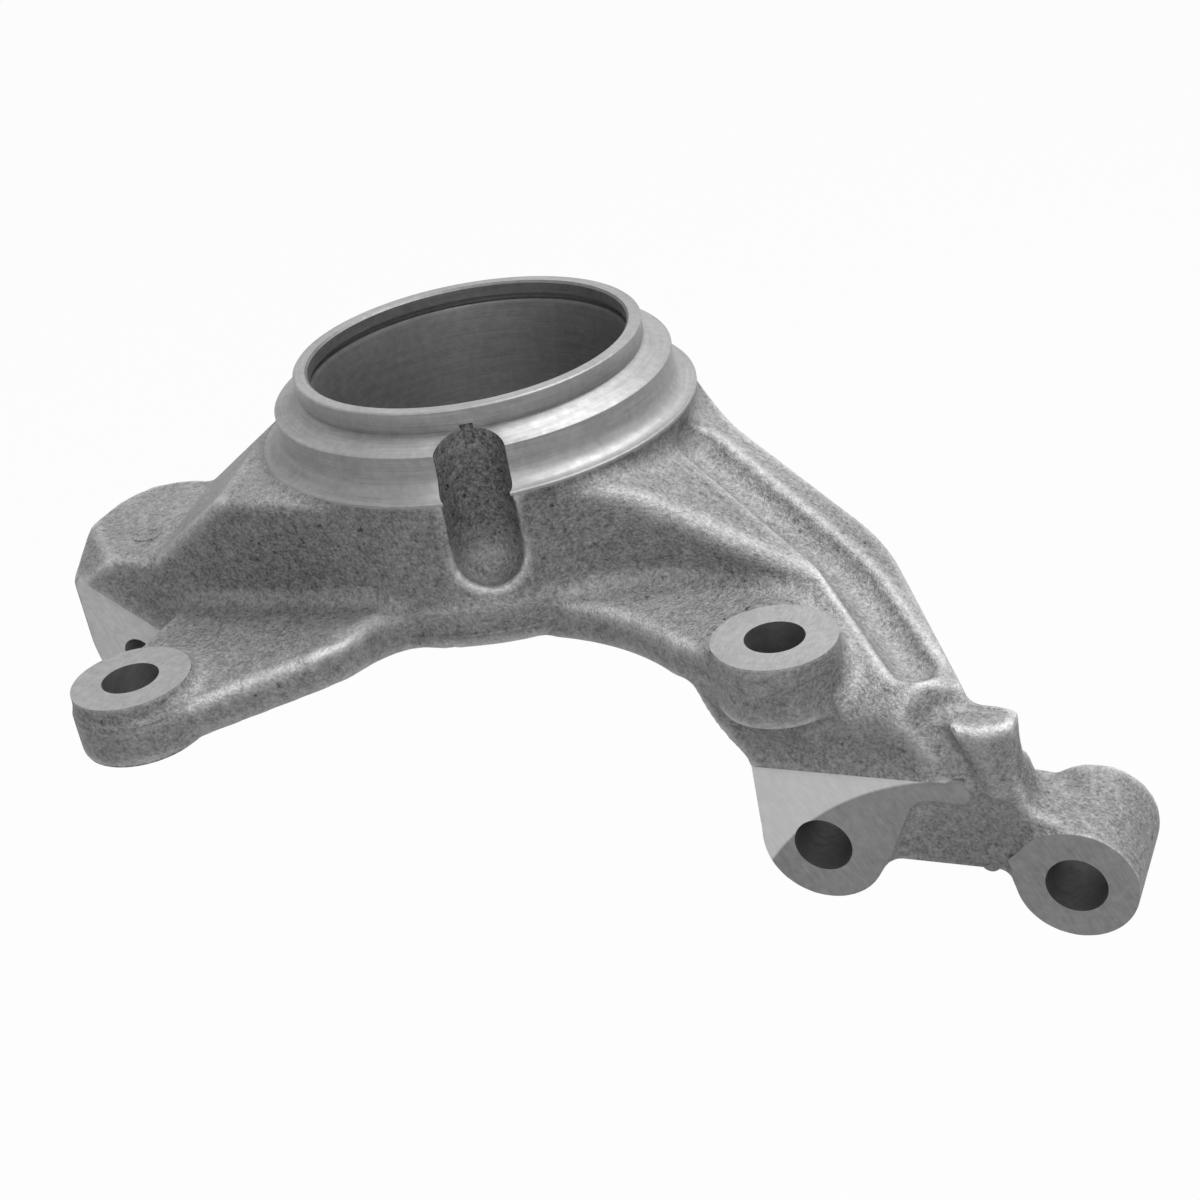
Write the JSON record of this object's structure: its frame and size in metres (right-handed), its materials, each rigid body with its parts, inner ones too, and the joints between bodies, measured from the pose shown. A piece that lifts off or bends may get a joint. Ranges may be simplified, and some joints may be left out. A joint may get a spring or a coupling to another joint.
{
  "type": "steering knuckle",
  "caption": "Cast iron steering knuckle with a wheel bearing housing, caliper bosses, a strut blade and a ball joint clamp lug, machined at its joints",
  "frame": {"origin": "on the bearing axis, in the outer face of the bearing housing's neck", "axes": "+Z out of the bearing mouth, +X towards the strut blade, +Y away from the brake caliper bosses"},
  "size_m": [0.2883, 0.2133, 0.1234],
  "materials": {
    "iron": "sand cast, with turned and milled faces"
  },
  "bodies": {
    "root": {"knuckle_casting": "iron"}
  },
  "joints": []
}
